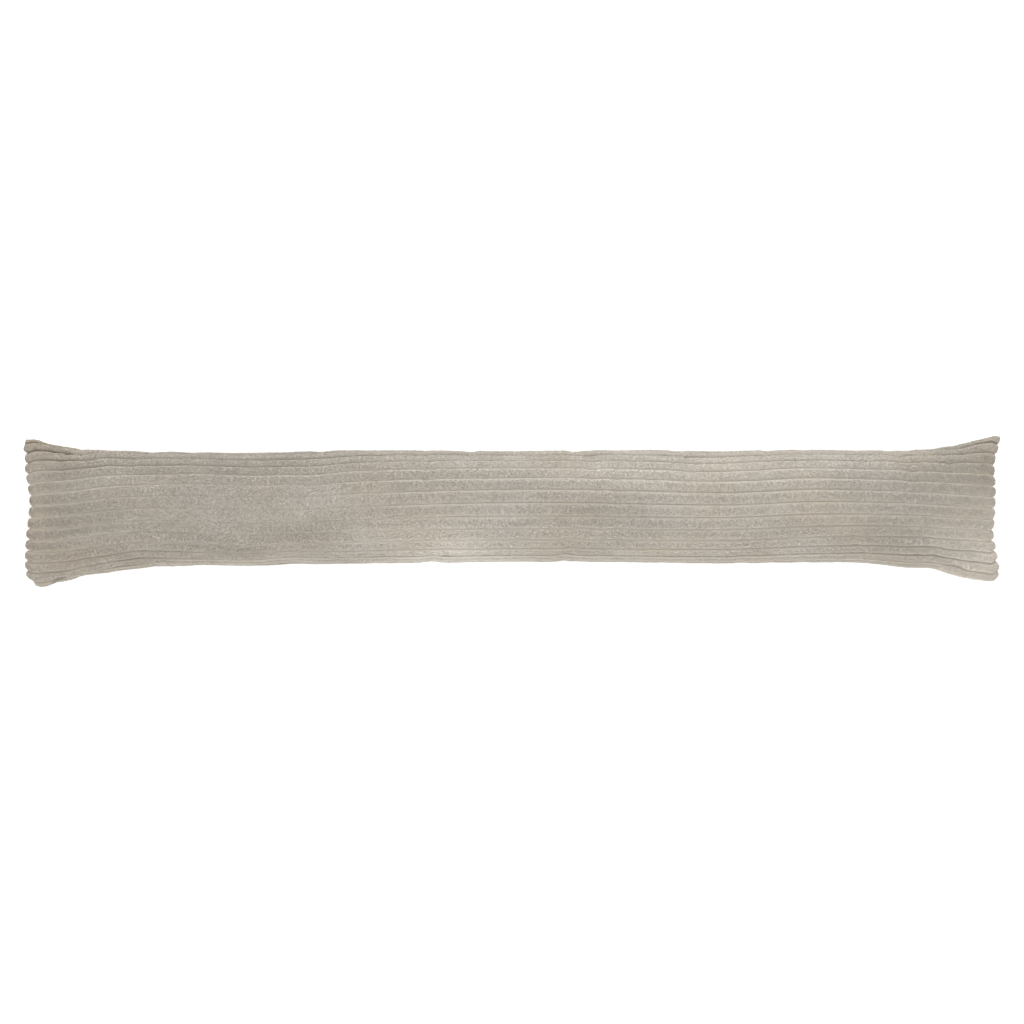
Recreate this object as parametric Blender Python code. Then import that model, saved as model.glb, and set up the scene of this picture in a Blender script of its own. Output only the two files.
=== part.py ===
"""Draught excluder: one long filled cushion of ribbed plush, lying on the floor.

The cushion runs along X. Its front panel faces up, and the floor is at z = 0.
Every cross-section is a flattened oval, read from the table SECTIONS. Ribs run
from one end seam to the other, 14 on the front panel and 14 on the back.
"""

import math

import bmesh
import bpy
import numpy as np

MM = 0.001

# Ribs round the whole bag, in millimetres. A higher power makes narrower grooves.
RIB_COUNT = 28
RIB_DEPTH = 2.6
GROOVE_POWER = 2.8
RIB_POINTS = (0.0, 0.2, 0.5, 0.8)

# The ribs are pressed out where the cushion rests, from this height down to the floor
PRESSED_HEIGHT = 5.0

# The end seams, in millimetres
SCALLOP_DEPTH = 2.2
SCALLOP_REACH = 5.0
END_LINE_REACH = 18.0

# A thin end section has square edges, a full one is an oval
OVAL_POWER = 2.0
FLAT_END_POWER = 2.4
FLAT_END_HALF = 8.0

# Rings of points along each end, and their spacing between the ends, in millimetres
HALF_LENGTH = 450.0
FIRST_RING_STEP = 2.0
RING_STEP_GROWTH = 1.9
END_RINGS = 14
MIDDLE_RINGS = 20

SAMPLES_ROUND = 720

# One row for each cross-section, in millimetres. up and down are the edges seen from
# above, toward +Y and -Y. level is the height of those edges over the floor, half is
# half the oval's height, and roll is how far the ribs are turned toward -Y. front is
# how much wider than the mean the front's ribs are, and middle the same for the ribs
# in the middle of each panel.
SECTIONS_COLUMNS = ("x", "up", "down", "level", "half", "roll", "front", "middle")
SECTIONS = (
    (-450, 65.6, -68.0, 35.0, 2.6, 4.8, 0.0, 0.05),
    (-447, 65.4, -69.0, 35.0, 4.8, 4.6, 0.0, 0.06),
    (-440, 65.2, -69.8, 35.0, 7.0, 3.6, 0.015, 0.08),
    (-430, 63.0, -69.4, 35.0, 9.8, 2.3, 0.02, 0.11),
    (-415, 59.8, -66.6, 35.2, 16.0, 1.2, 0.012, 0.145),
    (-395, 57.4, -60.8, 35.4, 25.5, 1.3, 0.02, 0.13),
    (-370, 55.4, -56.6, 35.8, 32.5, -1.2, 0.045, 0.075),
    (-335, 53.8, -52.3, 36.4, 36.8, -1.4, 0.02, 0.055),
    (-290, 53.6, -50.0, 39.6, 41.6, -0.4, 0.06, 0.025),
    (-240, 53.0, -50.4, 42.4, 46.0, 0.8, 0.05, 0.03),
    (-150, 54.4, -48.4, 43.8, 48.6, -0.2, 0.05, 0.024),
    (-50, 54.0, -47.0, 44.6, 49.4, -2.7, 0.064, 0.028),
    (50, 54.8, -46.6, 44.4, 49.2, -2.8, 0.068, 0.021),
    (130, 55.4, -47.4, 43.0, 47.0, -1.5, 0.07, 0.006),
    (200, 54.6, -47.4, 41.4, 45.2, -1.6, 0.05, 0.017),
    (275, 55.2, -46.6, 40.4, 44.2, -3.8, 0.032, 0.032),
    (325, 54.8, -47.6, 38.4, 39.6, -4.2, 0.035, 0.028),
    (360, 55.4, -51.4, 36.6, 35.0, -4.9, 0.028, 0.035),
    (387, 58.4, -53.8, 36.0, 30.0, -3.1, 0.01, 0.055),
    (405, 60.4, -58.4, 35.6, 24.5, -3.3, 0.0, 0.08),
    (422, 63.4, -62.4, 35.4, 17.5, -3.1, 0.022, 0.055),
    (436, 66.8, -65.0, 35.2, 11.2, -1.8, 0.026, 0.037),
    (444, 68.8, -65.8, 35.0, 7.2, -0.6, 0.02, 0.03),
    (447, 68.8, -65.4, 35.0, 5.0, -0.2, 0.01, 0.03),
    (450, 68.6, -64.2, 35.0, 2.6, 0.0, 0.0, 0.03),
)

# How far each end seam lies inside the longest point, in millimetres, a row for each
# place across the front. rib counts from the middle groove, minus toward +Y.
LEFT_END_LINE = (
    (-7.5, 2.6),
    (-7.0, 0.8),
    (-6.5, 0.0),
    (-5.5, 1.1),
    (-4.5, 1.1),
    (-3.5, 2.5),
    (-2.5, 4.2),
    (-1.5, 5.4),
    (0.0, 4.4),
    (1.5, 2.8),
    (3.5, 1.6),
    (4.5, 1.7),
    (5.5, 3.1),
    (6.5, 11.8),
)
RIGHT_END_LINE = (
    (-7.0, 0.4),
    (-6.5, 0.0),
    (-5.5, 1.8),
    (-4.5, 3.9),
    (-1.5, 4.0),
    (0.0, 4.8),
    (1.5, 5.5),
    (2.5, 5.9),
    (3.5, 3.9),
    (4.5, 2.0),
    (5.5, 0.4),
    (6.5, 1.2),
    (7.0, 4.2),
)

# Grooves at which the end seams are drawn in less, with the share of a scallop that is
# lost there, in ribs from the middle groove. A share under zero makes it deeper.
STRAIGHT_BREADTH = 0.4
LEFT_STRAIGHT = ((-7.0, 1.0), (2.0, -0.6), (3.0, -0.5), (6.0, 0.6))
RIGHT_STRAIGHT = (
    (-7.0, 1.0),
    (-6.0, 0.7),
    (-5.0, 0.8),
    (-4.0, 0.8),
    (-3.0, 0.6),
    (1.0, 0.3),
    (6.0, 0.8),
    (7.0, 1.0),
)

# Where the front meets the back at the -Y end of each end seam, as a place in the ribs
LEFT_EDGE_RIB = 6.5
RIGHT_EDGE_RIB = 7.0

# Soft pinches and waves, one row for each. length is along X and breadth is in ribs.
# depth is how far the cloth is drawn in, shift how far the ribs wander toward -Y.
FOLDS_COLUMNS = ("x", "rib", "length", "breadth", "depth", "shift")
FOLDS = (
    (-421, -6.6, 10, 0.6, 2.2, 0.0),
    (-395, -6.1, 8, 0.8, 2.4, 0.0),
    (-418, 6.3, 7, 0.6, 3.4, 0.0),
    (-360, 5.0, 12, 0.5, 1.6, 0.0),
    (-215, -4.8, 34, 1.8, 0.0, 2.2),
    (-200, 5.4, 20, 1.6, 1.2, -2.2),
    (174, -4.6, 22, 1.8, 0.8, 2.0),
    (386, -6.3, 8, 0.7, 2.6, 0.0),
    (406, 5.9, 7, 0.7, 3.0, 0.0),
)

PLUSH_COLOUR = (0.448, 0.406, 0.342, 1.0)
PLUSH_ROUGHNESS = 0.95


def column(table, columns, name):
    """One named column of a table."""
    return np.array([row[columns.index(name)] for row in table], dtype=float)


def read_smooth(places, values, at):
    """Values read on a smooth curve that passes through every row."""
    slopes = np.gradient(values, places)
    row = np.clip(np.searchsorted(places, at) - 1, 0, len(places) - 2)
    gap = places[row + 1] - places[row]
    t = np.clip((at - places[row]) / gap, 0.0, 1.0)
    start = (1 + 2 * t) * (1 - t) ** 2 * values[row]
    start += t * (1 - t) ** 2 * gap * slopes[row]
    end = t * t * (3 - 2 * t) * values[row + 1]
    end += t * t * (t - 1) * gap * slopes[row + 1]
    return start + end


def section_value(name, x):
    """One column of the section table at x."""
    places = column(SECTIONS, SECTIONS_COLUMNS, "x")
    return read_smooth(places, column(SECTIONS, SECTIONS_COLUMNS, name), x)


def front_rib(rib, edge_rib):
    """The rib of the front that lies over this one, where the panels are sewn together."""
    across = np.where(rib > edge_rib, 2 * edge_rib - rib, rib)
    other_edge = edge_rib - RIB_COUNT / 2
    return np.where(across < other_edge, 2 * other_edge - across, across)


def end_inset(x, rib):
    """How far the end seam on x's side lies inside the longest point."""
    line = LEFT_END_LINE if x < 0 else RIGHT_END_LINE
    edge_rib = LEFT_EDGE_RIB if x < 0 else RIGHT_EDGE_RIB
    places, insets = np.array(line, dtype=float).T
    return read_smooth(places, insets, front_rib(rib, edge_rib))


def groove_share(rib):
    """One in a groove, falling to zero on a rib's rounded crown."""
    off_groove = np.abs(rib - np.round(rib))
    return (1 - 2 * off_groove) ** GROOVE_POWER


def ring_places():
    """Where the rings stand along X, close together toward the two end seams."""
    from_end = [0.0]
    step = FIRST_RING_STEP
    for _ in range(END_RINGS - 1):
        from_end.append(from_end[-1] + step)
        step += RING_STEP_GROWTH
    left = np.array(from_end) - HALF_LENGTH
    middle = np.linspace(left[-1], -left[-1], MIDDLE_RINGS + 2)[1:-1]
    return np.concatenate([left, middle, -left[::-1]])


def rib_places():
    """The ring's points, as ribs counted from the middle groove of the front."""
    first = -RIB_COUNT // 2
    return np.array([first + rib + point for rib in range(RIB_COUNT) for point in RIB_POINTS])


def fold_sum(name, x, rib):
    """All folds' depth or shift at a place on the cloth."""
    total = np.zeros(np.broadcast(x, rib).shape)
    for row in FOLDS:
        fold = dict(zip(FOLDS_COLUMNS, row))
        along = (x - fold["x"]) / fold["length"]
        across = (rib - fold["rib"]) / fold["breadth"]
        total += fold[name] * np.exp(-0.5 * (along ** 2 + across ** 2))
    return total


def oval(x):
    """The section at x as y, z and arc, sampled from its underside up by +Y and down by -Y."""
    up, down, level, half = (section_value(name, x) for name in ("up", "down", "level", "half"))
    power = OVAL_POWER + FLAT_END_POWER * math.exp(-(half / FLAT_END_HALF) ** 2)
    turn = np.linspace(-math.pi, math.pi, SAMPLES_ROUND + 1)
    side = np.copysign(np.abs(np.sin(turn)) ** (2 / power), np.sin(turn))
    rise = np.copysign(np.abs(np.cos(turn)) ** (2 / power), np.cos(turn))
    y = (up + down) / 2 - (up - down) / 2 * side
    z = np.maximum(level + half * rise, 0.0)
    arc = np.concatenate([[0.0], np.cumsum(np.hypot(np.diff(y), np.diff(z)))])
    return y, z, arc - np.interp(0.0, turn, arc)


def straight_share(x, rib):
    """How much of the scallops is lost along the end seam on x's side."""
    places = LEFT_STRAIGHT if x < 0 else RIGHT_STRAIGHT
    across = front_rib(rib, LEFT_EDGE_RIB if x < 0 else RIGHT_EDGE_RIB)
    total = np.zeros(len(rib))
    for place, share in places:
        total += share * np.exp(-(((across - place) / STRAIGHT_BREADTH) ** 2))
    return total


def spread(x, ribs):
    """The ribs' places in mean rib widths, where some ribs are wider than others."""
    turn = 2 * np.pi * ribs / RIB_COUNT
    wider_front = section_value("front", x) * np.sin(turn)
    wider_middle = section_value("middle", x) * np.sin(2 * turn) / 2
    return ribs + (wider_front + wider_middle) * RIB_COUNT / (2 * np.pi)


def cloth_grid(x_rings, ribs):
    """The unribbed cloth: an array of points, a ring for each x and a column for each rib."""
    points = np.zeros((len(x_rings), len(ribs), 3))
    for index, x in enumerate(x_rings):
        y, z, arc = oval(x)
        around = arc[-1] - arc[0]
        from_end = HALF_LENGTH - abs(x)
        place = spread(x, ribs) * around / RIB_COUNT + section_value("roll", x)
        place += fold_sum("shift", x, ribs)
        place = (place - arc[0]) % around + arc[0]
        inset = end_inset(x, ribs) * math.exp(-from_end / END_LINE_REACH)
        scallop = SCALLOP_DEPTH * groove_share(ribs) * (1 - straight_share(x, ribs))
        inset += scallop * math.exp(-from_end / SCALLOP_REACH)
        points[index, :, 0] = x - math.copysign(1.0, x) * inset
        points[index, :, 1] = np.interp(place, arc, y)
        points[index, :, 2] = np.interp(place, arc, z)
    return points


def outward(points):
    """Unit normals of the grid, out of the cushion."""
    along = np.gradient(points, axis=0)
    wrapped = np.concatenate([points[:, -1:], points, points[:, :1]], axis=1)
    around = np.gradient(wrapped, axis=1)[:, 1:-1]
    normal = np.cross(around, along)
    return normal / np.linalg.norm(normal, axis=2, keepdims=True)


def ribbed_grid():
    """The cloth with its ribs and folds, resting on the floor, in millimetres."""
    x_rings = ring_places()
    ribs = rib_places()
    points = cloth_grid(x_rings, ribs)
    pressed = np.clip(points[:, :, 2] / PRESSED_HEIGHT, 0.0, 1.0)
    free = pressed * pressed * (3 - 2 * pressed)
    drawn_in = RIB_DEPTH * groove_share(ribs)[None, :] * free
    drawn_in = drawn_in + fold_sum("depth", x_rings[:, None], ribs[None, :]) * free
    thin = np.minimum(1.0, section_value("half", x_rings) / RIB_DEPTH / 2)
    points -= outward(points) * (drawn_in * thin[:, None])[:, :, None]
    points[:, :, 2] = np.maximum(points[:, :, 2], 0.0)
    for axis in (0, 1):
        points[:, :, axis] -= (points[:, :, axis].max() + points[:, :, axis].min()) / 2
    return points


def build_mesh(name, points):
    """One closed mesh from the rings, each end closed by quads from front to back."""
    rings, around = points.shape[:2]
    mesh = bmesh.new()
    grid = [[mesh.verts.new(point * MM) for point in ring] for ring in points]
    for first, second in zip(grid, grid[1:]):
        for j in range(around):
            k = (j + 1) % around
            mesh.faces.new((first[j], first[k], second[k], second[j]))
    for ring, edge_rib in ((grid[0], LEFT_EDGE_RIB), (grid[-1], RIGHT_EDGE_RIB)):
        edge = round((edge_rib + RIB_COUNT / 2) * len(RIB_POINTS))
        for step in range(around // 2):
            corners = (edge - step, edge - step - 1, edge + step + 1, edge + step)
            face = [ring[corner % around] for corner in corners]
            mesh.faces.new(dict.fromkeys(face))
    bmesh.ops.recalc_face_normals(mesh, faces=mesh.faces)
    data = bpy.data.meshes.new(name)
    mesh.to_mesh(data)
    mesh.free()
    data.shade_smooth()
    return data


def plush_material():
    """Warm grey-beige ribbed plush."""
    material = bpy.data.materials.new("ribbed_plush")
    material.use_nodes = True
    shader = material.node_tree.nodes["Principled BSDF"]
    shader.inputs["Base Color"].default_value = PLUSH_COLOUR
    shader.inputs["Roughness"].default_value = PLUSH_ROUGHNESS
    shader.inputs["Metallic"].default_value = 0.0
    return material


def main():
    for item in list(bpy.data.objects):
        bpy.data.objects.remove(item)
    data = build_mesh("cushion", ribbed_grid())
    data.materials.append(plush_material())
    cushion = bpy.data.objects.new("cushion", data)
    bpy.context.scene.collection.objects.link(cushion)


main()
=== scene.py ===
"""Draught excluder of wide-rib plush, lying on a pale floor in soft studio light."""

import functools
import math

import bmesh
import bpy
import numpy as np
from bpy.props import FloatProperty, IntProperty, PointerProperty, StringProperty
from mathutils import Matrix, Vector


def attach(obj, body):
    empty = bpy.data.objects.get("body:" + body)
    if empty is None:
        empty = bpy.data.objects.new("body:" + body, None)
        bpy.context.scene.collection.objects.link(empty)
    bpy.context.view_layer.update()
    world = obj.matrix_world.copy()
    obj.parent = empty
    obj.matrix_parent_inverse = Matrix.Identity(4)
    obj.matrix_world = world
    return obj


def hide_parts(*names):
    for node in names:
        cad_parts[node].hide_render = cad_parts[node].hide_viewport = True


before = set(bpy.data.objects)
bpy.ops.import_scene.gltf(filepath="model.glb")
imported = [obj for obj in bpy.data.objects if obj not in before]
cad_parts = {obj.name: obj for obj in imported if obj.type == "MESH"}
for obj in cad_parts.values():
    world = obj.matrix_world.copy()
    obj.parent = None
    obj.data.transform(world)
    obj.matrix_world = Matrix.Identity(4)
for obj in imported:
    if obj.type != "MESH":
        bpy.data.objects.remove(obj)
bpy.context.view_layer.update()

bl_info = {
    "name": "Draught Excluder",
    "version": (1, 0, 0),
    "blender": (4, 5, 0),
    "location": "View3D > Sidebar > Draught Excluder",
    "description": "Builds a filled draught excluder of ribbed plush, its pile and a small studio",
    "category": "Add Mesh",
}

MM = 0.001
NODE = "cushion"
CUSHION = "plush_cushion"

# Ribs round the whole bag, and a rib's columns of points, close together at its grooves
RIB_COUNT = 28
RIB_POINTS = (0.0, 0.05, 0.14, 0.29, 0.5, 0.71, 0.86, 0.95)

# Where the ribs are pressed out on the floor, and how the end seams are drawn in, in millimetres
PRESSED_HEIGHT = 5.0
SCALLOP_DEPTH = 2.2
SCALLOP_REACH = 5.0
END_LINE_REACH = 18.0

# A thin end section has square edges, a full one is an oval
OVAL_POWER = 2.0
FLAT_END_POWER = 2.4
FLAT_END_HALF = 8.0

# How far toward +Y the sections are moved, so that the bag lies evenly on the frame's origin
CENTRING = 0.45

# Rings of points, close together at the end seams, in millimetres
HALF_LENGTH = 450.0
FIRST_RING_STEP = 0.5
WIDEST_RING_STEP = 2.4
RING_STEP_GROWTH = 0.12
SAMPLES_ROUND = 720

# One row for each cross-section, in millimetres. up and down are the edges seen from
# above, toward +Y and -Y. level is the height of those edges over the floor, half is
# half the oval's height, and roll is how far the ribs are turned toward -Y. front is
# how much wider than the mean the front's ribs are, and middle the same for the ribs
# in the middle of each panel.
SECTIONS_COLUMNS = ("x", "up", "down", "level", "half", "roll", "front", "middle")
SECTIONS = (
    (-450, 65.6, -68.0, 35.0, 2.6, 4.8, 0.0, 0.05),
    (-447, 65.4, -69.0, 35.0, 4.8, 4.6, 0.0, 0.06),
    (-440, 65.2, -69.8, 35.0, 7.0, 3.6, 0.015, 0.08),
    (-430, 63.0, -69.4, 35.0, 9.8, 2.3, 0.02, 0.11),
    (-415, 59.8, -67.2, 35.2, 16.0, 1.2, 0.012, 0.145),
    (-395, 57.0, -60.8, 35.4, 25.5, 1.3, 0.02, 0.13),
    (-370, 54.5, -56.6, 35.8, 32.5, -1.2, 0.045, 0.075),
    (-335, 53.8, -52.3, 36.4, 36.8, -1.4, 0.02, 0.055),
    (-290, 53.6, -50.0, 39.6, 41.6, -0.4, 0.06, 0.025),
    (-240, 53.0, -50.4, 42.4, 46.0, 0.8, 0.05, 0.03),
    (-150, 54.4, -48.4, 43.8, 48.6, -0.2, 0.05, 0.024),
    (-50, 54.0, -46.6, 44.6, 49.4, -2.7, 0.064, 0.028),
    (50, 54.8, -45.9, 44.4, 49.2, -2.8, 0.068, 0.021),
    (130, 55.4, -46.8, 43.0, 47.0, -1.5, 0.07, 0.006),
    (200, 54.6, -47.4, 41.4, 45.2, -1.6, 0.05, 0.017),
    (275, 55.2, -46.6, 40.4, 44.2, -3.8, 0.032, 0.032),
    (325, 54.8, -47.6, 38.4, 39.6, -4.2, 0.035, 0.028),
    (360, 55.4, -51.4, 36.6, 35.0, -4.9, 0.028, 0.035),
    (387, 58.4, -53.8, 36.0, 30.0, -3.1, 0.01, 0.055),
    (405, 60.4, -58.4, 35.6, 24.5, -3.3, 0.0, 0.08),
    (422, 63.4, -62.4, 35.4, 17.5, -3.1, 0.022, 0.055),
    (436, 66.8, -65.0, 35.2, 11.2, -1.8, 0.026, 0.037),
    (444, 69.2, -65.8, 35.0, 7.2, -0.6, 0.02, 0.03),
    (447, 69.4, -65.4, 35.0, 5.0, -0.2, 0.01, 0.03),
    (450, 69.2, -64.2, 35.0, 2.6, 0.0, 0.0, 0.03),
)

# How far each end seam lies inside the longest point, in millimetres, a row for each
# place across the front. rib counts from the middle groove, minus toward +Y.
LEFT_END_LINE = (
    (-7.5, 2.6),
    (-7.0, 0.8),
    (-6.5, 0.0),
    (-5.5, 1.1),
    (-4.5, 1.1),
    (-3.5, 2.5),
    (-2.5, 4.2),
    (-1.5, 5.4),
    (0.0, 4.4),
    (1.5, 2.8),
    (3.5, 1.6),
    (4.5, 1.7),
    (5.5, 3.1),
    (6.5, 11.8),
)
RIGHT_END_LINE = (
    (-7.0, -0.8),
    (-6.5, -0.6),
    (-5.5, 1.4),
    (-4.5, 3.9),
    (-1.5, 4.0),
    (0.0, 4.8),
    (1.5, 5.5),
    (2.5, 5.9),
    (3.5, 3.9),
    (4.5, 2.0),
    (5.5, 0.4),
    (6.5, 1.2),
    (7.0, 4.2),
)

# Where the front meets the back at the -Y end of each end seam, as a place in the ribs
LEFT_EDGE_RIB = 6.5
RIGHT_EDGE_RIB = 7.0

# Grooves at which the end seams are drawn in less, with the share of a scallop that is
# lost there, in ribs from the middle groove. A share under zero makes it deeper.
STRAIGHT_BREADTH = 0.4
LEFT_STRAIGHT = ((-7.0, 1.0), (2.0, -0.8), (3.0, -0.6), (6.0, 0.6))
RIGHT_STRAIGHT = (
    (-7.0, 1.0),
    (-6.0, 0.7),
    (-5.0, 0.8),
    (-4.0, 0.8),
    (-3.0, 0.6),
    (1.0, 0.4),
    (6.0, 0.8),
    (7.0, 1.0),
)

# Pinches, waves and creases, one row for each. length and breadth are in millimetres,
# the length lies along X where turn is zero, and turn is in degrees. depth is how far
# the cloth is drawn in, shift how far the ribs wander toward -Y. A rib is about
# RIB_PITCH wide.
RIB_PITCH = 12.2
FOLDS_COLUMNS = ("x", "rib", "length", "breadth", "turn", "depth", "shift")
FOLDS = (
    (-421, -6.6, 10, 7.0, 0, 2.2, 0.0),
    (-395, -6.1, 8, 10.0, 0, 2.4, 0.0),
    (-418, 6.3, 7, 7.0, 0, 3.4, 0.0),
    (-360, 5.0, 12, 6.0, 0, 1.6, 0.0),
    (-215, -4.8, 34, 22.0, 0, 0.0, 2.2),
    (-200, 5.4, 17, 19.0, 0, 1.2, -3.0),
    (-184, 5.6, 8, 12.0, 0, 0.0, 1.2),
    (174, -4.6, 22, 22.0, 0, 0.8, 2.0),
    (386, -6.3, 8, 8.5, 0, 2.6, 0.0),
    (406, 5.9, 7, 8.5, 0, 3.0, 0.0),
    (-392, -6.2, 4, 3.5, 0, 1.6, 0.0),
    (-436, -6.9, 9, 2.0, -8, 1.4, 0.0),
    (-413, -6.0, 16, 1.4, 0, 1.6, 0.0),
    (-336, -6.1, 5, 6.0, 0, 1.5, 0.0),
    (-296, -6.2, 7, 6.0, 0, 1.0, 0.0),
    (-420, 6.1, 6, 2.2, -25, 2.4, 0.0),
    (-357, 5.7, 8, 2.2, 4, 2.0, 0.0),
    (-324, 5.0, 8, 2.0, 4, 1.6, 0.0),
    (197, 5.9, 7, 3.0, 0, 1.6, 0.0),
    (388, -6.1, 4, 2.5, -8, 1.8, 0.0),
    (411, 5.8, 4, 2.0, 8, 2.0, 0.0),
    (412, 6.0, 14, 9.0, 0, 0.0, 1.6),
    (407, -6.0, 10, 8.0, 0, 0.0, 1.2),
    (-176, -3.6, 15, 26.0, 0, 0.0, 2.4),
)

# The seam along each side lies in the groove between the two panels' outermost ribs
SIDE_SEAM_RIB = 7.0
SIDE_SEAM_WIDTH = 0.12
SIDE_SEAM_DEPTH = 1.3
END_SEAM_DEPTH = 1.2

# Seeded unevenness: size along X in millimetres, breadth in ribs, amount and seed. The
# amounts are in millimetres for lumps, rib_wander and nap_relief, a share of a rib's
# depth for rib_fullness, radians for swirl, a share of the shade for nap and a share of
# the colour's strength for warmth.
FIELDS = {
    "lumps": (90.0, 5.0, 0.7, 11),
    "rib_wander": (60.0, 2.0, 0.15, 12),
    "rib_fullness": (34.0, 1.0, 0.15, 13),
    "nap_relief": (4.5, 0.4, 0.12, 14),
    "swirl": (24.0, 1.0, 1.1, 15),
    "nap": (40.0, 1.5, 0.08, 16),
    "warmth": (45.0, 2.5, 0.14, 17),
}

# Where the ribs lie flatter than elsewhere, one row for each, x and length in millimetres.
# share is how much of a groove's depth is lost.
FLAT_COLUMNS = ("x", "rib", "length", "breadth", "share")
FLAT_RIBS = (
    (-450, 0.0, 60, 4.6, 0.2),
    (-235, 0.3, 140, 3.0, 0.72),
    (450, -0.5, 75, 4.2, 0.35),
)

# How much of a groove's painted line, its pale floor and its painted shade, is lost with its depth
FLAT_FADE = 1.1

# The ribs beside the two long seams are the deepest: share is how much deeper they are
EDGE_RIB = 5.2
EDGE_BREADTH = 1.7
EDGE_SHARE = 1.2

# The last grooves before each long seam carry the darkest painted shade: how much wider
# their painted line is, and how far from the ends it is less so
LINE_RIB = 5.8
LINE_BREADTH = 1.1
LINE_SHARE = 1.3
LINE_REACH = 200.0

# How far from each end the cloth is pulled flat, so that the grooves' pale floors show,
# how much wider they are there, and how much warmer the cloth is. The corners toward +Y
# are squeezed shut, so that their grooves keep the painted shade.
OPEN_REACH = 60.0
OPEN_SHARE = 0.2
END_WARMTH = 0.2
SHUT_RIB = -7.0
SHUT_BREADTH = 2.0
SHUT_SHARE = 0.9

# How much of the grooves' pale floors shows on the crown instead of painted shade, and how far from its
# middle
CROWN_OPEN = 0.6
CROWN_RIB = 4.2

# Patches where the pile is drawn lighter or darker, and small creases and dents, one row
# for each, in millimetres. The darker left end and +Y right corner and the lighter -Y right
# corner are painted shade and light, and the darkened creases and dents are painted shade.
# shade is how much lighter the patch is, as a share of the plush's whole range, which runs
# from the dark to the light pile colour, 0 to 1.
MIDDLE_SHADE = 0.5
NAP_COLUMNS = ("x", "y", "length", "breadth", "shade")
PILE_PATCHES_AND_PAINTED_LIGHT = (
    (-440, 0, 90, 90, -0.20),
    (-240, 44, 80, 16, -0.20),
    (-260, -44, 110, 14, -0.18),
    (-55, -38, 60, 16, 0.34),
    (40, -8, 60, 16, -0.16),
    (190, 44, 110, 16, 0.26),
    (230, -50, 180, 12, -0.14),
    (430, 48, 50, 24, -0.20),
    (-210, -26, 90, 12, -0.14),
    (370, -2, 60, 26, -0.16),
    (446, -34, 34, 34, 0.50),
    (40, -36, 40, 12, -0.12),
    (-35, -8, 34, 14, 0.12),
    (-429, 63.2, 7, 1.3, -0.35),
    (-418, 60.0, 5, 1.5, -0.50),
    (436, 49.2, 2.0, 1.6, -0.34),
    (433.5, 41.3, 1.8, 1.6, -0.40),
    (433.8, 30.5, 1.8, 1.6, -0.34),
    (432.5, 20.3, 2.0, 1.6, -0.20),
)

# Pile, in four pieces with as many locks in each. Single fibres, 0.02 mm thick, are too
# fine to show, so each lock stands for a tuft of them. It is thinner on the back, and
# short in the grooves, whose floors are bare.
PILE = "pile"
PILE_PIECES = 4
PILE_SEED = 21
BACK_FACING = -0.25
BACK_DENSITY = 0.45
GROOVE_PILE = 0.25
BARE_GROOVE = 0.22

# A lock's shape: two root corners, a ridge behind them and a tip. Sizes are in
# millimetres or shares of its width or length, and angles in radians.
LOCK_FACES = ((0, 2, 3), (2, 1, 3), (0, 3, 1), (0, 1, 2))
LOCK_TIPS = (0.0, 0.0, 0.4, 1.0)
ROOT_SINK = 0.3
RIDGE_BACK = 0.4
RIDGE_HEIGHT = 0.35
LOCK_RISE = (0.35, 0.85)
LOCK_LENGTHS = (0.75, 1.25)
LOCK_WIDTHS = (0.8, 1.2)
LOCK_SPREAD = 0.5
FLOOR_GAP = 0.05

# The locks' shades differ less from EVEN_START to the right end, by this share there
EVEN_START = 0.0
EVEN_SHARE = 0.8

# The pile's curls, their breadth and relief in metres, and how far the curls and the locks
# darken and lighten the nap. The tips' span is painted shade at the locks' roots and painted
# light at their tips.
CURL_WIDTH = 0.0016
CURL_RELIEF = 0.0005
CURL_SHADE = (-0.26, 0.26)
LOCK_SHADE = (-0.45, 0.45)
PAINTED_ROOT_SHADE_TIP_LIGHT = (-0.1, 0.16)

# Where a groove turns from pile to its floor colour, the pale bare knit or the painted shade of a closed
# groove, and how much of it shows then
FLOOR_REACH = (0.25, 0.9)
FLOOR_SHARE = 0.9

# Studio, in metres. Paper's fibres are too fine to show, so its grain is drawn 4 mm wide.
FLOOR_SIZE = 8.0
FLOOR_DROP = 0.0002
FIBRE_WIDTH = 0.004
SIDE_BOX_PLACE = (0.0, 1.5, 0.75)
SIDE_BOX_SIZE = (2.2, 0.8)
TOP_BOX_PLACE = (0.0, 0.0, 2.0)
TOP_BOX_SIZE = (2.4, 2.4)
TOP_BOX_SHARE = 0.75
ROOM_LIGHT = 0.62

# A long lens, in millimetres, over a point near the cushion's middle, in metres, and the
# height at which the cushion's edges lie
LENS = 100.0
SENSOR = 36.0
CAMERA_PLACE = (0.0005, -0.0009)
EDGE_LEVEL = 0.038

# Cloth simulation of the filled bag before its ribs, on a coarse grid, in millimetres.
# It starts slimmer than the bag, of cloth a little longer than it needs, and swells.
SIM_RING_STEP = 6.0
SIM_POINTS = (0.0, 0.5)
SIM_FRAMES = 20
SIM_SLIM = 0.97
SIM_EXTRA_CLOTH = 0.02
SIM_PRESSURE = 4.0
SIM_PINNED_ENDS = 6.0
SIM_PINNED_HEIGHT = 1.0
SIM_BROAD_RINGS = 9
SIM_GRIP = 25.0
SIM_CAP = 3.0
SIM_SHARE = 0.35


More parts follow.
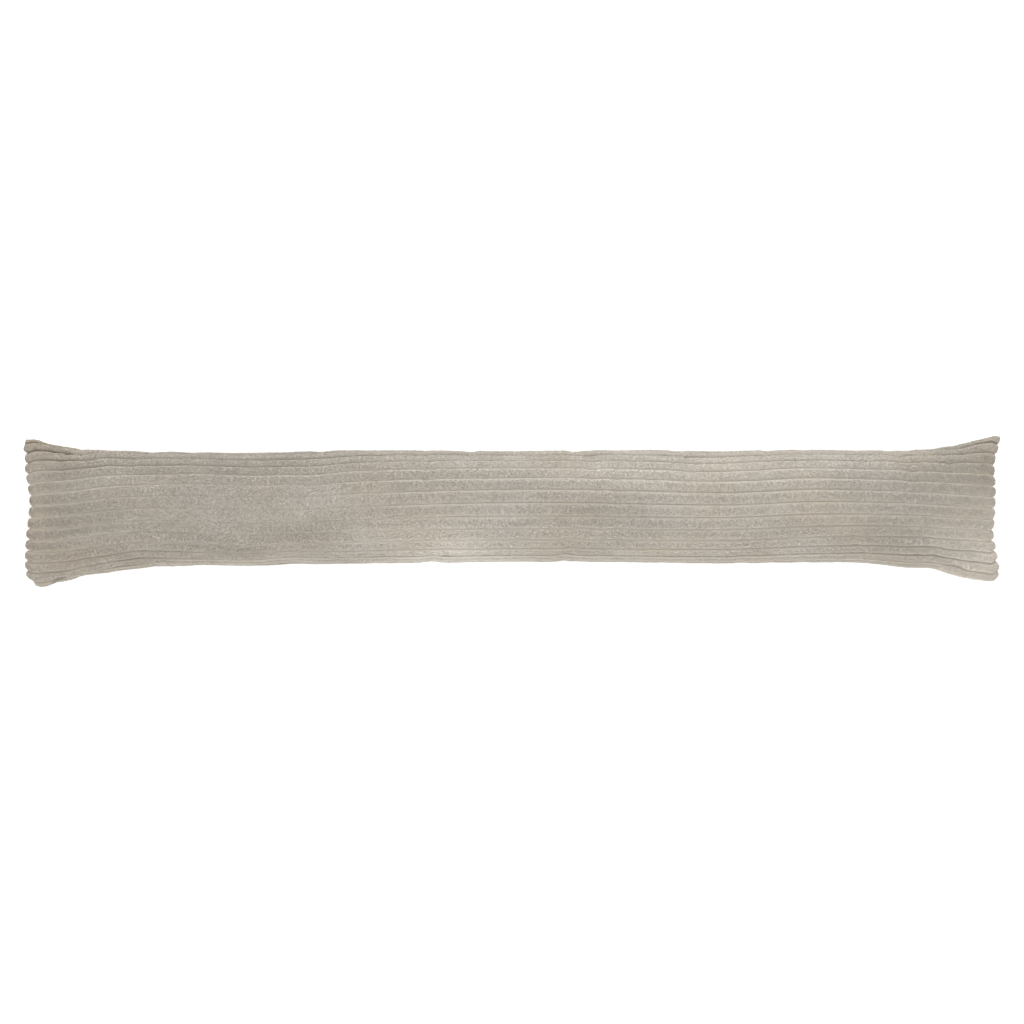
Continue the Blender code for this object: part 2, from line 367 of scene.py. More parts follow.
class CushionSettings(bpy.types.PropertyGroup):
    """Sizes and colours of the plush bag."""

    rib_depth: FloatProperty(
        name="Rib depth",
        description="Depth of a groove under the rib crowns",
        default=0.0016,
        min=0.0,
        max=0.006,
        unit="LENGTH",
        subtype="DISTANCE",
    )
    fill: FloatProperty(
        name="Fill",
        description="How full the bag is, from slack to tight",
        default=0.75,
        min=0.0,
        max=1.0,
        subtype="FACTOR",
    )
    # The light end of the pile's colours: lighter pile, and painted light at the locks' tips and in the
    # lightened patches
    plush: StringProperty(
        name="Plush",
        description="Colour of pile brushed toward the light, as sRGB hex",
        default="D4CDC2",
    )
    ground: StringProperty(
        name="Ground",
        description="Colour of the knitted ground in the grooves, as sRGB hex",
        default="C6BEB0",
    )
    # Painted shade: the dark colour drawn on the floors of closed grooves
    shadow: StringProperty(
        name="Closed groove",
        description="Colour of the ground where the ribs close over a groove, as sRGB hex",
        default="6F675A",
    )
    # The dark end of the pile's colours: darker pile, and painted shade at the locks' roots and in the
    # darkened patches
    dark_pile_and_shade: StringProperty(
        name="Crushed pile",
        description="Colour of pile brushed away from the light, as sRGB hex",
        default="9F978B",
    )


class PileSettings(bpy.types.PropertyGroup):
    """Sizes of the pile's locks."""

    length: FloatProperty(
        name="Lock length",
        description="Length of a lock of pile",
        default=0.0015,
        min=0.0005,
        max=0.006,
        unit="LENGTH",
        subtype="DISTANCE",
    )
    width: FloatProperty(
        name="Lock width",
        description="Width of a lock at its root",
        default=0.0008,
        min=0.0002,
        max=0.004,
        unit="LENGTH",
        subtype="DISTANCE",
    )
    locks: IntProperty(
        name="Locks",
        description="Locks in each pile piece",
        default=49000,
        min=100,
        max=50000,
    )


class StageSettings(bpy.types.PropertyGroup):
    """The floor, lights and framing."""

    floor: StringProperty(
        name="Floor",
        description="Colour of the floor, as sRGB hex",
        default="FAFAF8",
    )
    light: FloatProperty(
        name="Side light",
        description="Power of each softbox beside the cushion",
        default=19.0,
        min=0.0,
        unit="POWER",
    )
    frame_width: FloatProperty(
        name="Frame width",
        description="Width of the picture at the height of the cushion's edges",
        default=0.9433,
        min=0.1,
        unit="LENGTH",
        subtype="DISTANCE",
    )


def linear(hex_colour):
    """An sRGB hex colour as linear RGBA."""
    values = [int(hex_colour[i:i + 2], 16) / 255 for i in (0, 2, 4)]
    flat = [v / 12.92 if v <= 0.04045 else ((v + 0.055) / 1.055) ** 2.4 for v in values]
    return (*flat, 1.0)


def add_node(tree, kind, settings=None, **links):
    """A node with its settings. links gives each input, spaces as _, a value or a socket."""
    node = tree.nodes.new(kind)
    for name, value in (settings or {}).items():
        setattr(node, name, value)
    for name, value in links.items():
        socket = node.inputs[int(name[1:])] if name[1:].isdigit() else node.inputs[name.replace("_", " ")]
        if isinstance(value, bpy.types.NodeSocket):
            tree.links.new(value, socket)
        else:
            socket.default_value = value
    return node


def column(table, columns, name):
    """One named column of a table."""
    return np.array([row[columns.index(name)] for row in table], dtype=float)


def read_smooth(places, values, at):
    """Values read on a smooth curve that passes through every row."""
    slopes = np.gradient(values, places, axis=0)
    row = np.clip(np.searchsorted(places, at) - 1, 0, len(places) - 2)
    spread = np.shape(at) + (1,) * (values.ndim - 1)
    gap = (places[row + 1] - places[row]).reshape(spread)
    t = np.clip((at - places[row]).reshape(spread) / gap, 0.0, 1.0)
    start = (1 + 2 * t) * (1 - t) ** 2 * values[row]
    start += t * (1 - t) ** 2 * gap * slopes[row]
    end = t * t * (3 - 2 * t) * values[row + 1]
    end += t * t * (t - 1) * gap * slopes[row + 1]
    return start + end


def read_round(places, values, at):
    """The same round the bag, where the last rib meets the first."""
    wide = np.concatenate([places[-2:] - RIB_COUNT, places, places[:2] + RIB_COUNT])
    full = np.concatenate([values[-2:], values, values[:2]])
    return read_smooth(wide, full, at)


def section_value(name, x):
    """One column of the section table at x."""
    places = column(SECTIONS, SECTIONS_COLUMNS, "x")
    return read_smooth(places, column(SECTIONS, SECTIONS_COLUMNS, name), x)


def front_rib(rib, edge_rib):
    """The rib of the front that lies over this one, where the panels are sewn together."""
    across = np.where(rib > edge_rib, 2 * edge_rib - rib, rib)
    other_edge = edge_rib - RIB_COUNT / 2
    return np.where(across < other_edge, 2 * other_edge - across, across)


def end_inset(x, rib):
    """How far the end seam on x's side lies inside the longest point."""
    line = LEFT_END_LINE if x < 0 else RIGHT_END_LINE
    edge_rib = LEFT_EDGE_RIB if x < 0 else RIGHT_EDGE_RIB
    places, insets = np.array(line, dtype=float).T
    return read_smooth(places, insets, front_rib(rib, edge_rib))


def bell(offset, reach):
    """One at zero, falling smoothly away to either side."""
    return np.exp(-((offset / reach) ** 2))


def groove_share(rib):
    """One in a groove, falling to zero on a rib's crown, as between round cords."""
    off_crown = 1 - 2 * np.abs(rib - np.round(rib))
    return 1 - np.sqrt(1 - off_crown ** 2)


def straight_share(x, rib):
    """How much of the scallops is lost along the end seam on x's side."""
    places = LEFT_STRAIGHT if x < 0 else RIGHT_STRAIGHT
    across = front_rib(rib, LEFT_EDGE_RIB if x < 0 else RIGHT_EDGE_RIB)
    total = np.zeros(len(rib))
    for place, share in places:
        total += share * bell(across - place, STRAIGHT_BREADTH)
    return total


def ring_places():
    """Where the rings stand along X, close together toward the two end seams."""
    from_end = [0.0]
    while from_end[-1] < HALF_LENGTH:
        step = FIRST_RING_STEP + RING_STEP_GROWTH * from_end[-1]
        from_end.append(from_end[-1] + min(step, WIDEST_RING_STEP))
    left = np.array(from_end) * (HALF_LENGTH / from_end[-1]) - HALF_LENGTH
    return np.concatenate([left, -left[-2::-1]])


def rib_places(points=RIB_POINTS):
    """A ring's points, as ribs counted from the middle groove of the front."""
    first = -RIB_COUNT // 2
    return np.array([first + rib + point for rib in range(RIB_COUNT) for point in points])


def wander(name, x_rings, ribs):
    """Smooth random values over the cloth, the same each time."""
    length, breadth, amount, seed = FIELDS[name]
    rng = np.random.default_rng(seed)
    along = np.arange(-HALF_LENGTH - length, HALF_LENGTH + 2 * length, length)
    count = max(4, round(RIB_COUNT / breadth))
    around = np.arange(count) * RIB_COUNT / count - RIB_COUNT / 2
    values = rng.uniform(-1, 1, (len(along), count))
    rows = read_smooth(along, values, x_rings)
    return amount * read_round(around, rows.T, ribs).T


def flatness(x, rib):
    """How much of a groove's depth is lost at a place on the cloth, pulled flat."""
    total = np.zeros(np.broadcast(x, rib).shape)
    for row in FLAT_RIBS:
        flat = dict(zip(FLAT_COLUMNS, row))
        along = (x - flat["x"]) / flat["length"]
        across = (rib - flat["rib"]) / flat["breadth"]
        total += flat["share"] * np.exp(-(along ** 2) - across ** 4)
    return total


def edge_depth(rib):
    """How much deeper a groove is beside the long seams."""
    return 1 + EDGE_SHARE * bell(np.abs(rib) - EDGE_RIB, EDGE_BREADTH)


def near_end(x, reach):
    """One at the end seams, falling to zero toward the middle."""
    return bell(HALF_LENGTH - np.abs(x), reach)


def line_share(x, rib):
    """How much wider a groove's painted line is: its painted shade beside the long seams and its pale
    floor at the ends.
    """
    beside_seam = bell(np.abs(rib) - LINE_RIB, LINE_BREADTH)
    far = 1 - near_end(x, LINE_REACH)
    return 1 + LINE_SHARE * far * beside_seam + OPEN_SHARE * near_end(x, OPEN_REACH)


def openness(x, rib):
    """How much of a groove's floor shows its pale ground instead of painted shade: one at the ends, where
    the grooves lie open, less on the crown and zero at the sides.
    """
    ends = near_end(x, OPEN_REACH) * (1 - SHUT_SHARE * bell(rib - SHUT_RIB, SHUT_BREADTH))
    crown = CROWN_OPEN * np.exp(-((rib / CROWN_RIB) ** 4))
    return ends + (1 - ends) * crown


def pile_tone_and_painted_light(points, x_rings, ribs):
    """How light the pile is at each point of the grid, from 0 to 1: the nap's own tone, with the patches'
    painted light and shade.
    """
    shade = MIDDLE_SHADE + wander("nap", x_rings, ribs)
    for row in PILE_PATCHES_AND_PAINTED_LIGHT:
        patch = dict(zip(NAP_COLUMNS, row))
        along = (points[:, :, 0] - patch["x"]) / patch["length"]
        across = (points[:, :, 1] - patch["y"]) / patch["breadth"]
        shade += patch["shade"] * np.exp(-0.5 * (along ** 2 + across ** 2))
    return np.clip(shade, 0.0, 1.0)


def fold_sum(name, x, rib):
    """All folds' depth or shift at a place on the cloth."""
    total = np.zeros(np.broadcast(x, rib).shape)
    for row in FOLDS:
        fold = dict(zip(FOLDS_COLUMNS, row))
        turn = math.radians(fold["turn"])
        off_x = x - fold["x"]
        off_y = (rib - fold["rib"]) * RIB_PITCH
        along = (off_x * math.cos(turn) + off_y * math.sin(turn)) / fold["length"]
        across = (off_y * math.cos(turn) - off_x * math.sin(turn)) / fold["breadth"]
        total += fold[name] * np.exp(-0.5 * (along ** 2 + across ** 2))
    return total


def oval(x):
    """The section at x as y, z and arc, sampled from its underside up by +Y and down by -Y."""
    up, down, level, half = (section_value(name, x) for name in ("up", "down", "level", "half"))
    power = OVAL_POWER + FLAT_END_POWER * math.exp(-(half / FLAT_END_HALF) ** 2)
    turn = np.linspace(-math.pi, math.pi, SAMPLES_ROUND + 1)
    side = np.copysign(np.abs(np.sin(turn)) ** (2 / power), np.sin(turn))
    rise = np.copysign(np.abs(np.cos(turn)) ** (2 / power), np.cos(turn))
    y = (up + down) / 2 - (up - down) / 2 * side
    z = np.maximum(level + half * rise, 0.0)
    arc = np.concatenate([[0.0], np.cumsum(np.hypot(np.diff(y), np.diff(z)))])
    return y, z, arc - np.interp(0.0, turn, arc)


def spread(x, ribs):
    """The ribs' places in mean rib widths, where some ribs are wider than others."""
    turn = 2 * np.pi * ribs / RIB_COUNT
    wider_front = section_value("front", x) * np.sin(turn)
    wider_middle = section_value("middle", x) * np.sin(2 * turn) / 2
    return ribs + (wider_front + wider_middle) * RIB_COUNT / (2 * np.pi)


def cloth_grid(x_rings, ribs, shift):
    """The unribbed cloth: an array of points, a ring for each x and a column for each rib."""
    points = np.zeros((len(x_rings), len(ribs), 3))
    for index, x in enumerate(x_rings):
        y, z, arc = oval(x)
        around = arc[-1] - arc[0]
        from_end = HALF_LENGTH - abs(x)
        place = spread(x, ribs) * around / RIB_COUNT + section_value("roll", x) + shift[index]
        place = (place - arc[0]) % around + arc[0]
        inset = end_inset(x, ribs) * math.exp(-from_end / END_LINE_REACH)
        scallop = SCALLOP_DEPTH * groove_share(ribs) * (1 - straight_share(x, ribs))
        inset += scallop * math.exp(-from_end / SCALLOP_REACH)
        points[index, :, 0] = x - math.copysign(1.0, x) * inset
        points[index, :, 1] = np.interp(place, arc, y)
        points[index, :, 2] = np.interp(place, arc, z)
    return points


def outward(points):
    """Unit normals of the grid, out of the cushion."""
    along = np.gradient(points, axis=0)
    wrapped = np.concatenate([points[:, -1:], points, points[:, :1]], axis=1)
    around = np.gradient(wrapped, axis=1)[:, 1:-1]
    normal = np.cross(around, along)
    return normal / np.maximum(np.linalg.norm(normal, axis=2, keepdims=True), 1e-9)


def grid_faces(rings, around):
    """Quads between neighbouring rings of points."""
    index = np.arange(rings * around).reshape(rings, around)
    first, second = index[:-1], index[1:]
    quads = np.stack([first, np.roll(first, -1, 1), np.roll(second, -1, 1), second], axis=2)
    return quads.reshape(-1, 4).tolist()


def broad(values):
    """Values averaged along the cushion, so that only their broad form is left."""
    half = SIM_BROAD_RINGS // 2
    wide = np.concatenate([values[:1]] * half + [values] + [values[-1:]] * half)
    return sum(wide[step:step + len(values)] for step in range(2 * half + 1)) / (2 * half + 1)


@functools.lru_cache(maxsize=1)
def filled_bag():
    """The filling's creases and bulges by cloth simulation: rings, ribs and how far each moves."""
    x_rings = np.linspace(-HALF_LENGTH, HALF_LENGTH, round(2 * HALF_LENGTH / SIM_RING_STEP) + 1)
    ribs = rib_places(SIM_POINTS)
    points = cloth_grid(x_rings, ribs, fold_sum("shift", x_rings[:, None], ribs[None, :]))
    free = np.clip(points[:, :, 2] / PRESSED_HEIGHT, 0.0, 1.0)
    slim = points.copy()
    axis = points.mean(axis=1, keepdims=True)
    slim[:, :, 1:] = (axis + (points - axis) * SIM_SLIM)[:, :, 1:]
    start = points + (slim - points) * free[:, :, None]
    mesh = bpy.data.meshes.new("filling_cloth")
    mesh.from_pydata((start.reshape(-1, 3) * MM).tolist(), [], grid_faces(*points.shape[:2]))
    bag = bpy.data.objects.new("filling_cloth", mesh)
    bpy.context.scene.collection.objects.link(bag)
    from_end = np.broadcast_to(HALF_LENGTH - np.abs(x_rings)[:, None], free.shape)
    held = (from_end < SIM_PINNED_ENDS) | (points[:, :, 2] < SIM_PINNED_HEIGHT)
    pins = bag.vertex_groups.new(name="pins")
    pins.add(np.flatnonzero(held.ravel()).tolist(), 1.0, "REPLACE")
    cloth = bag.modifiers.new("filling", "CLOTH")
    cloth.settings.vertex_group_mass = pins.name
    cloth.settings.use_pressure = True
    cloth.settings.uniform_pressure_force = SIM_PRESSURE
    cloth.settings.shrink_min = -SIM_EXTRA_CLOTH
    cloth.settings.effector_weights.gravity = 0.0
    cloth.point_cache.frame_start = 1
    cloth.point_cache.frame_end = SIM_FRAMES
    for frame_number in range(1, SIM_FRAMES + 1):
        bpy.context.scene.frame_set(frame_number)
    blown = bag.evaluated_get(bpy.context.evaluated_depsgraph_get()).data
    ended = np.empty(points.size, dtype=np.float32)
    blown.vertices.foreach_get("co", ended)
    bpy.data.objects.remove(bag)
    bpy.data.meshes.remove(mesh)
    bpy.context.scene.frame_set(1)
    moved = ended.reshape(points.shape).astype(float) / MM - start
    moved -= broad(moved)
    far = np.linalg.norm(moved, axis=2, keepdims=True)
    moved *= np.minimum(1.0, SIM_CAP / np.maximum(far, 1e-6)) * free[:, :, None]
    moved *= np.minimum(1.0, from_end / SIM_GRIP)[:, :, None]
    return x_rings, ribs, moved * SIM_SHARE


def swelling(x_rings, ribs):
    """The simulated movement at every point of the fine grid."""
    places, columns, moved = filled_bag()
    rows = read_smooth(places, moved, x_rings)
    return read_round(columns, rows.swapaxes(0, 1), ribs).swapaxes(0, 1)


def side_seams(x_rings, ribs):
    """One along the two long seams, falling to zero beside them."""
    total = np.zeros((len(x_rings), len(ribs)))
    for seam in (SIDE_SEAM_RIB, -SIDE_SEAM_RIB):
        total += bell(ribs[None, :] - seam, SIDE_SEAM_WIDTH)
    return total


def plush_grid(settings):
    """The ribbed, folded cloth: its points in millimetres and their shares, shades and swirl."""
    x_rings = ring_places()
    ribs = rib_places()
    x, rib = x_rings[:, None], ribs[None, :]
    shift = fold_sum("shift", x, rib) + wander("rib_wander", x_rings, ribs)
    points = cloth_grid(x_rings, ribs, shift) + swelling(x_rings, ribs)
    pressed = np.clip(points[:, :, 2] / PRESSED_HEIGHT, 0.0, 1.0)
    free = pressed * pressed * (3 - 2 * pressed)
    groove = np.broadcast_to(groove_share(rib), free.shape)
    rib_depth = settings.rib_depth / MM
    drawn_in = rib_depth * groove * (1 + wander("rib_fullness", x_rings, ribs))
    flat = flatness(x, rib)
    drawn_in *= edge_depth(rib) * (1 - flat)
    drawn_in = drawn_in + fold_sum("depth", x, rib) + wander("lumps", x_rings, ribs)
    drawn_in += wander("nap_relief", x_rings, ribs)
    drawn_in += SIDE_SEAM_DEPTH * side_seams(x_rings, ribs) * (1 - near_end(x, OPEN_REACH))
    # The ribs are shallow where the bag is hardly thicker than they are
    thin = np.minimum(1.0, section_value("half", x_rings) / rib_depth / 2)
    points -= outward(points) * (drawn_in * free * thin[:, None])[:, :, None]
    points[:, :, 2] = np.maximum(points[:, :, 2], 0.0)
    points[:, :, 1] += CENTRING
    return {
        "points": points,
        "groove": np.minimum(groove * free * (1 - FLAT_FADE * flat) * line_share(x, rib), 1.0),
        "open": openness(x, rib),
        "nap": pile_tone_and_painted_light(points, x_rings, ribs),
        "warm": 1 + wander("warmth", x_rings, ribs) + END_WARMTH * near_end(x, OPEN_REACH),
        "swirl": wander("swirl", x_rings, ribs),
    }


def write_values(mesh, values):
    """Named numbers on a mesh's points, for its material."""
    for name, numbers in values.items():
        attribute = mesh.attributes.new(name, "FLOAT", "POINT")
        attribute.data.foreach_set("value", np.asarray(numbers, dtype=np.float32))


def cushion_mesh(grid):
    """One closed mesh from the rings. Each end is closed by a drawn-in seam, whose first and
    last faces are triangles."""
    points = grid["points"]
    rings, around = points.shape[:2]
    index = np.arange(rings * around).reshape(rings, around)
    faces = grid_faces(rings, around)
    verts = points.reshape(-1, 3).tolist()
    values = {key: grid[key].reshape(-1).tolist() for key in ("groove", "open", "nap", "warm")}
    ends = ((0, LEFT_EDGE_RIB, 1.0), (rings - 1, RIGHT_EDGE_RIB, -1.0))
    for ring, edge_rib, inward in ends:
        edge = round((edge_rib + RIB_COUNT / 2) * len(RIB_POINTS))
        half = around // 2
        front = [index[ring, (edge - step) % around] for step in range(half + 1)]
        back = [index[ring, (edge + step) % around] for step in range(half + 1)]
        seam = [front[0]]
        for near, far in zip(front[1:-1], back[1:-1]):
            middle = (np.array(verts[near]) + np.array(verts[far])) / 2
            middle[0] += inward * END_SEAM_DEPTH
            seam.append(len(verts))
            verts.append(middle.tolist())
            # The seam's middle points take a closed groove's full painted shade
            values["groove"].append(1.0)
            values["open"].append(0.0)
            for key in ("nap", "warm"):
                values[key].append(values[key][near])
        seam.append(front[-1])
        for step in range(half):
            for side in (front, back):
                face = (side[step], side[step + 1], seam[step + 1], seam[step])
                faces.append(list(dict.fromkeys(face)))
    mesh = bpy.data.meshes.new(CUSHION)
    mesh.from_pydata([[value * MM for value in point] for point in verts], [], faces)
    write_values(mesh, values)
    write_values(mesh, {"lock": np.full(len(verts), MIDDLE_SHADE)})
    shell = bmesh.new()
    shell.from_mesh(mesh)
    bmesh.ops.recalc_face_normals(shell, faces=shell.faces)
    shell.to_mesh(mesh)
    shell.free()
    mesh.shade_smooth()
    return mesh


def pick(values, ring, column, u, v):
    """A grid's values at places inside its cells."""
    extra = (1,) * (values.ndim - 2)
    u, v = u.reshape(-1, *extra), v.reshape(-1, *extra)
    beside = (column + 1) % values.shape[1]
    first = values[ring, column] * (1 - v) + values[ring, beside] * v
    second = values[ring + 1, column] * (1 - v) + values[ring + 1, beside] * v
    return first * (1 - u) + second * u


def unit(vectors):
    """Vectors made one long."""
    return vectors / np.maximum(np.linalg.norm(vectors, axis=-1, keepdims=True), 1e-9)


def lock_places(points, normals, groove, count, rng):
    """Random cells of the grid and places in them, even by area, thinner on the back."""
    side = np.roll(points, -1, axis=1)
    across, other = side[1:] - points[:-1], side[:-1] - points[1:]
    area = np.linalg.norm(np.cross(across, other), axis=2)
    low = points[:-1, :, 2]
    share = np.where(normals[:-1, :, 2] < BACK_FACING, BACK_DENSITY, 1.0)
    share *= np.clip(2 - groove[:-1] / BARE_GROOVE, 0.0, 1.0)
    weight = area * share * np.clip(low / PRESSED_HEIGHT, 0.0, 1.0)
    total = np.cumsum(weight.ravel())
    picked = (np.arange(count) + rng.uniform(size=count)) / count * total[-1]
    cell = np.searchsorted(total, picked).clip(0, total.size - 1)
    return cell // points.shape[1], cell % points.shape[1], rng.uniform(size=(2, count))


def mottling(x):
    """How much the locks' shades differ at x, less toward the right end."""
    reach = np.clip((x - EVEN_START) / (HALF_LENGTH - EVEN_START), 0.0, 1.0)
    return 1 - EVEN_SHARE * reach


def pile_arrays(grid, settings, count):
    """Every lock of pile as a closed, ridged spike: corners, faces and values."""
    rng = np.random.default_rng(PILE_SEED)
    points = grid["points"]
    normals = outward(points)
    ring, column, (u, v) = lock_places(points, normals, grid["groove"], count, rng)
    place = (ring, column, u, v)
    root = pick(points, *place)
    up = unit(pick(normals, *place))
    along = unit(np.gradient(points, axis=0))
    along = pick(along, *place)
    along = unit(along - up * (along * up).sum(axis=1, keepdims=True))
    beside = np.cross(up, along)
    angle = pick(grid["swirl"], *place) + rng.normal(0.0, LOCK_SPREAD, count)
    lean = along * np.cos(angle)[:, None] + beside * np.sin(angle)[:, None]
    across = np.cross(up, lean)
    groove = pick(grid["groove"], *place)
    length = settings.length / MM * rng.uniform(*LOCK_LENGTHS, count)
    length = (length * (1 - (1 - GROOVE_PILE) * groove))[:, None]
    rise = rng.uniform(*LOCK_RISE, count)[:, None]
    width = (settings.width / MM * rng.uniform(*LOCK_WIDTHS, count))[:, None]
    corners = np.stack([
        root + across * width / 2 - up * ROOT_SINK,
        root - across * width / 2 - up * ROOT_SINK,
        root - lean * width * RIDGE_BACK + up * width * RIDGE_HEIGHT,
        root + lean * length * np.cos(rise) + up * length * np.sin(rise),
    ], axis=1)
    corners[:, :, 2] = np.maximum(corners[:, :, 2], FLOOR_GAP)
    values = {
        "groove": groove,
        "open": pick(grid["open"], *place),
        "nap": pick(grid["nap"], *place),
        "warm": pick(grid["warm"], *place),
        "lock": MIDDLE_SHADE + rng.uniform(-0.5, 0.5, count) * mottling(root[:, 0]),
    }
    values = {key: np.repeat(numbers, len(LOCK_TIPS)) for key, numbers in values.items()}
    # tip is one at a lock's tip and zero at its root, for the painted light and shade along it
    values["tip"] = np.tile(LOCK_TIPS, count)
    return corners, values


def pile_mesh(name, corners, values):
    """One mesh of many locks."""
    count = len(corners)
    faces = np.array(LOCK_FACES)[None] + len(LOCK_TIPS) * np.arange(count)[:, None, None]
    mesh = bpy.data.meshes.new(name)
    mesh.from_pydata((corners.reshape(-1, 3) * MM).tolist(), [], faces.reshape(-1, 3).tolist())
    write_values(mesh, values)
    mesh.shade_smooth()
    return mesh


def plush_material(settings):
    """Polyester wide-rib plush, knitted, brushed and sheared: matt, with a pale bloom at its
    edges, and mottled where the short pile leans this way and that. Its colour also holds
    painted shade in closed grooves, at the locks' roots and in darker patches, and painted
    light at the tips and in lighter patches."""
    name = "brushed_polyester_plush"
    material = bpy.data.materials.get(name)
    if material:
        return material
    material = bpy.data.materials.new(name)
    material.use_nodes = True
    tree = material.node_tree
    shader = tree.nodes["Principled BSDF"]
    place = add_node(tree, "ShaderNodeTexCoord").outputs["Object"]
    # The nap attribute carries the pile's own tone and the patches' painted light and shade
    groove, wide_open, nap, warm, lock, tip = (
        add_node(tree, "ShaderNodeAttribute", {"attribute_name": value}).outputs["Fac"]
        for value in ("groove", "open", "nap", "warm", "lock", "tip")
    )

    # Curls and locks lighten and darken the nap; the tips' span paints shade at the locks' roots and
    # light at their tips
    curls = add_node(
        tree, "ShaderNodeTexNoise", Vector=place, Scale=1 / CURL_WIDTH, Detail=2.0, Roughness=0.6
    ).outputs["Fac"]
    shade = nap
    for source, (low, high) in ((curls, CURL_SHADE), (lock, LOCK_SHADE), (tip, PAINTED_ROOT_SHADE_TIP_LIGHT)):
        span = add_node(
            tree, "ShaderNodeMapRange", {"clamp": False}, Value=source,
            From_Min=0.0, From_Max=1.0, To_Min=low, To_Max=high,
        ).outputs["Result"]
        shade = add_node(tree, "ShaderNodeMath", {"operation": "ADD"}, _0=shade, _1=span).outputs[0]
    pile = add_node(
        tree, "ShaderNodeMix", {"data_type": "RGBA", "clamp_factor": True},
        Factor=shade, _6=linear(settings.dark_pile_and_shade), _7=linear(settings.plush),
    ).outputs[2]
    # A groove's floor is bare knit: pale where it lies open, and painted shade where pile closes over it
    ground = add_node(
        tree, "ShaderNodeMix", {"data_type": "RGBA"}, Factor=wide_open,
        _6=linear(settings.shadow), _7=linear(settings.ground),
    ).outputs[2]
    floor_share = add_node(
        tree, "ShaderNodeMapRange", Value=groove,
        From_Min=FLOOR_REACH[0], From_Max=FLOOR_REACH[1], To_Min=0.0, To_Max=FLOOR_SHARE,
    ).outputs["Result"]
    cloth = add_node(
        tree, "ShaderNodeMix", {"data_type": "RGBA"}, Factor=floor_share, _6=pile, _7=ground
    ).outputs[2]
    # The dye took a little more here and less there, and is warmest at the ends
    cloth = add_node(tree, "ShaderNodeHueSaturation", Saturation=warm, Color=cloth).outputs["Color"]
    bump = add_node(tree, "ShaderNodeBump", Height=curls, Strength=0.5, Distance=CURL_RELIEF)
    tree.links.new(cloth, shader.inputs["Base Color"])
    tree.links.new(bump.outputs["Normal"], shader.inputs["Normal"])
    shader.inputs["Roughness"].default_value = 0.95
    shader.inputs["Sheen Weight"].default_value = 0.5
    shader.inputs["Sheen Roughness"].default_value = 0.5
    shader.inputs["Specular IOR Level"].default_value = 0.15
    return material


def show(name, mesh, material):
    """A piece of the cushion: it rides on the only body and has the plush's slot."""
    piece = bpy.data.objects.new(name, mesh)
    bpy.context.scene.collection.objects.link(piece)
    mesh.materials.append(material)
    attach(piece, "root")
    return piece


def paper_material(settings):
    """Matt seamless background paper: even and almost white."""
    material = bpy.data.materials.new("seamless_paper")
    material.use_nodes = True
    tree = material.node_tree
    shader = tree.nodes["Principled BSDF"]
    place = add_node(tree, "ShaderNodeTexCoord").outputs["Object"]
    fibre = add_node(tree, "ShaderNodeTexNoise", Vector=place, Scale=1 / FIBRE_WIDTH, Detail=2.0)
    bump = add_node(tree, "ShaderNodeBump", Height=fibre.outputs["Fac"], Strength=0.05, Distance=0.0001)
    tree.links.new(bump.outputs["Normal"], shader.inputs["Normal"])
    shader.inputs["Base Color"].default_value = linear(settings.floor)
    shader.inputs["Emission Color"].default_value = (1.0, 1.0, 1.0, 1.0)
    shader.inputs["Emission Strength"].default_value = 0.3
    shader.inputs["Roughness"].default_value = 0.9
    shader.inputs["Specular IOR Level"].default_value = 0.1
    return material


def add_softbox(scene, name, power, place, size):
    """A large soft light that faces the cushion."""
    lamp = bpy.data.lights.new(name, "AREA")
    lamp.shape = "RECTANGLE"
    lamp.size, lamp.size_y = size
    lamp.energy = power
    light = bpy.data.objects.new(name, lamp)
    light.location = place
    light.rotation_euler = (-Vector(place)).to_track_quat("-Z", "Y").to_euler()
    scene.collection.objects.link(light)


def add_camera(scene, settings):
    """A long lens straight above the cushion, with the cushion's edges at their real scale."""
    lens = bpy.data.cameras.new("camera")
    lens.lens = LENS
    lens.sensor_width = SENSOR
    camera = bpy.data.objects.new("camera", lens)
    distance = settings.frame_width / 2 / (SENSOR / 2 / LENS)
    camera.location = (*CAMERA_PLACE, EDGE_LEVEL + distance)
    scene.collection.objects.link(camera)
    scene.camera = camera


class DRAUGHT_OT_cushion(bpy.types.Operator):
    """Add the filled bag of ribbed plush"""

    bl_idname = "draught.add_cushion"
    bl_label = "Add Cushion"

    def execute(self, context):
        settings = context.scene.draught_cushion
        piece = show(CUSHION, cushion_mesh(plush_grid(settings)), plush_material(settings))
        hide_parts(NODE)
        return {"FINISHED"}


class DRAUGHT_OT_pile(bpy.types.Operator):
    """Add the short brushed pile"""

    bl_idname = "draught.add_pile"
    bl_label = "Add Pile"

    def execute(self, context):
        cushion, settings = context.scene.draught_cushion, context.scene.draught_pile
        count = settings.locks
        corners, values = pile_arrays(plush_grid(cushion), settings, count * PILE_PIECES)
        order = np.argsort(corners[:, 3, 0], kind="stable").reshape(PILE_PIECES, -1)
        for index, chosen in enumerate(order):
            name = f"{PILE}_{index + 1}"
            mine = {
                key: numbers.reshape(len(corners), -1)[chosen].ravel()
                for key, numbers in values.items()
            }
            show(name, pile_mesh(name, corners[chosen], mine), plush_material(cushion))
        return {"FINISHED"}


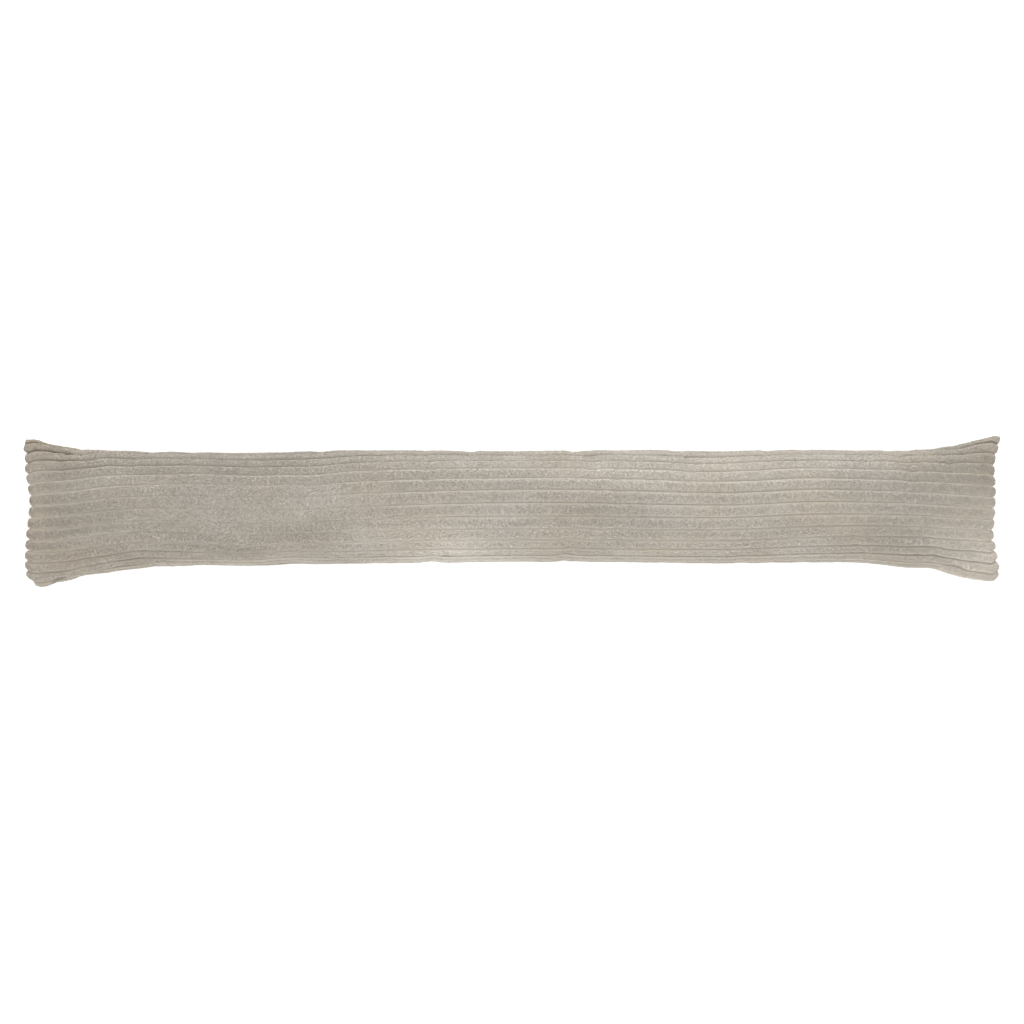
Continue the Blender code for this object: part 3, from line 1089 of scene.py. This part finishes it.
class DRAUGHT_OT_stage(bpy.types.Operator):
    """Add the pale floor, the soft lights and the camera"""

    bl_idname = "draught.add_stage"
    bl_label = "Add Stage"

    def execute(self, context):
        scene = context.scene
        settings = scene.draught_stage
        scene.view_settings.view_transform = "Standard"
        bpy.ops.mesh.primitive_plane_add(size=FLOOR_SIZE, location=(0, 0, -FLOOR_DROP))
        floor = context.object
        floor.name = "studio_floor"
        floor.data.materials.append(paper_material(settings))
        x, y, z = SIDE_BOX_PLACE
        add_softbox(scene, "softbox_back", settings.light, (x, y, z), SIDE_BOX_SIZE)
        add_softbox(scene, "softbox_front", settings.light, (x, -y, z), SIDE_BOX_SIZE)
        add_softbox(scene, "softbox_top", settings.light * TOP_BOX_SHARE, TOP_BOX_PLACE, TOP_BOX_SIZE)
        world = bpy.data.worlds.new("studio")
        world.use_nodes = True
        room = world.node_tree.nodes["Background"]
        room.inputs["Color"].default_value = (1, 1, 1, 1)
        room.inputs["Strength"].default_value = ROOM_LIGHT
        scene.world = world
        add_camera(scene, settings)
        return {"FINISHED"}


class VIEW3D_PT_draught_excluder(bpy.types.Panel):
    """The draught excluder's operators and settings."""

    bl_label = "Draught Excluder"
    bl_space_type = "VIEW_3D"
    bl_region_type = "UI"
    bl_category = "Draught Excluder"

    def draw(self, context):
        layout = self.layout
        for operator, settings in STEPS:
            layout.operator(operator)
            group = getattr(context.scene, settings)
            for name in group.__annotations__:
                layout.prop(group, name)


STEPS = (
    ("draught.add_cushion", "draught_cushion"),
    ("draught.add_pile", "draught_pile"),
    ("draught.add_stage", "draught_stage"),
)
GROUPS = {
    "draught_cushion": CushionSettings,
    "draught_pile": PileSettings,
    "draught_stage": StageSettings,
}
CLASSES = (DRAUGHT_OT_cushion, DRAUGHT_OT_pile, DRAUGHT_OT_stage, VIEW3D_PT_draught_excluder)


def register():
    for name, group in GROUPS.items():
        bpy.utils.register_class(group)
        setattr(bpy.types.Scene, name, PointerProperty(type=group))
    for cls in CLASSES:
        bpy.utils.register_class(cls)


def unregister():
    for cls in reversed(CLASSES):
        bpy.utils.unregister_class(cls)
    for name, group in GROUPS.items():
        delattr(bpy.types.Scene, name)
        bpy.utils.unregister_class(group)


def main():
    register()
    bpy.ops.draught.add_cushion()
    bpy.ops.draught.add_pile()
    bpy.ops.draught.add_stage()


if __name__ == "__main__":
    main()
